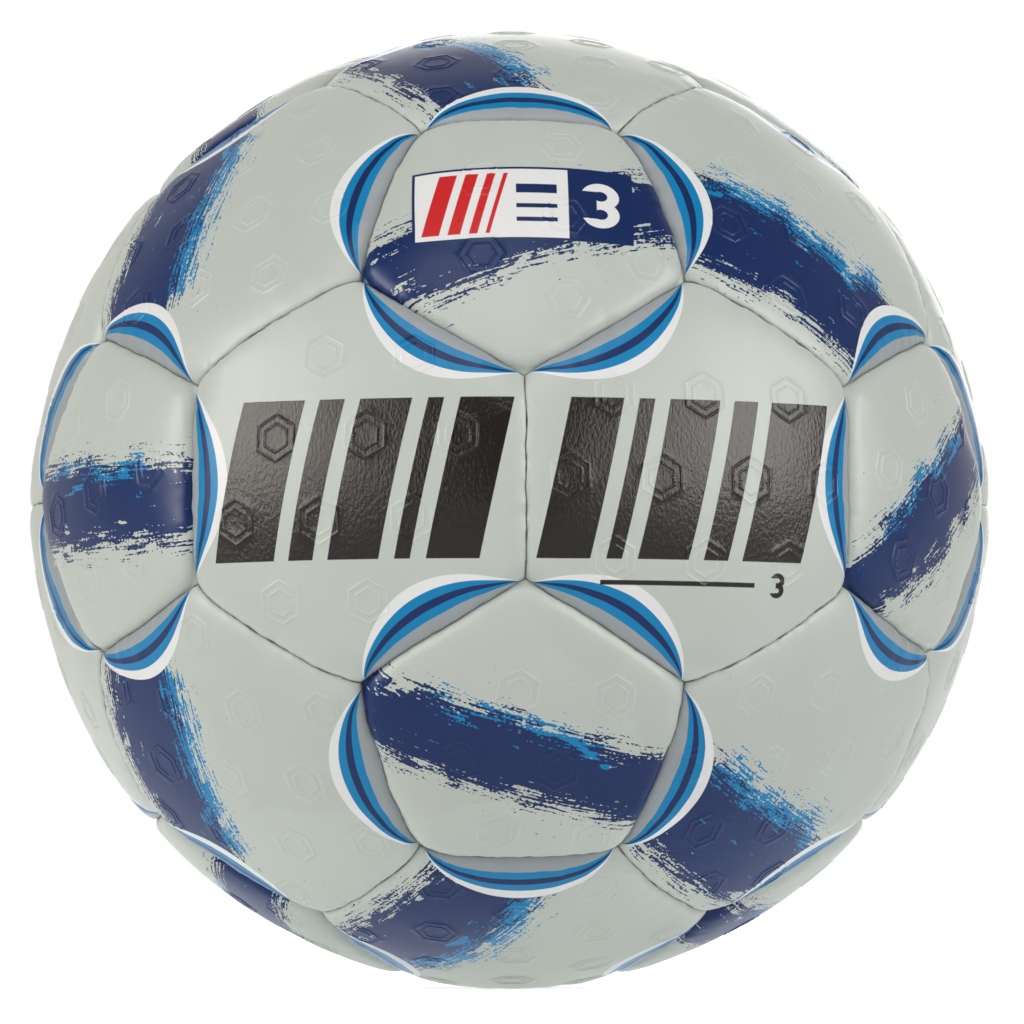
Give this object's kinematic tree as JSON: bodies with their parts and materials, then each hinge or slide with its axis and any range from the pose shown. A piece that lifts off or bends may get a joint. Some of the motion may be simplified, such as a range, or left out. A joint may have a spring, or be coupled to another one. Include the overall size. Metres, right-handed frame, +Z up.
{
  "type": "handball",
  "caption": "Hand-stitched handball with domed panels, foam and lining layers, sewn seams, latex bladder and inflation valve.",
  "frame": {"origin": "centre of the ball", "axes": "+Z up; -Y towards the side with the printed bars, through the middle of an upright seam between two six-sided panels; +X to the right of that side"},
  "size_m": [0.188, 0.188, 0.188],
  "materials": {
    "cover": "satin coated leather substitute with printed patterns",
    "foam": "closed-cell foam",
    "lining": "woven polyester and cotton",
    "thread": "waxed braided polyester",
    "latex": "natural latex",
    "valve_rubber": "moulded butyl rubber"
  },
  "bodies": {
    "root": {"hexagon_panel_01": "cover", "hexagon_panel_02": "cover", "hexagon_panel_03": "cover", "hexagon_panel_04": "cover", "hexagon_panel_05": "cover", "hexagon_panel_06": "cover", "hexagon_panel_07": "cover", "hexagon_panel_08": "cover", "hexagon_panel_09": "cover", "hexagon_panel_10": "cover", "hexagon_panel_11": "cover", "hexagon_panel_12": "cover", "hexagon_panel_13": "cover", "hexagon_panel_14": "cover", "hexagon_panel_15": "cover", "hexagon_panel_16": "cover", "hexagon_panel_17": "cover", "hexagon_panel_18": "cover", "hexagon_panel_19": "cover", "valve_panel": "cover", "pentagon_panel_01": "cover", "pentagon_panel_02": "cover", "pentagon_panel_03": "cover", "pentagon_panel_04": "cover", "pentagon_panel_05": "cover", "pentagon_panel_06": "cover", "pentagon_panel_07": "cover", "pentagon_panel_08": "cover", "pentagon_panel_09": "cover", "pentagon_panel_10": "cover", "pentagon_panel_11": "cover", "pentagon_panel_12": "cover", "hexagon_foams": "foam", "pentagon_foams": "foam", "hexagon_linings": "lining", "pentagon_linings": "lining", "hexagon_seam_threads": "thread", "pentagon_seam_threads": "thread", "bladder": "latex", "valve_patch": "valve_rubber", "valve_housing": "valve_rubber", "valve_core": "valve_rubber"}
  },
  "joints": []
}
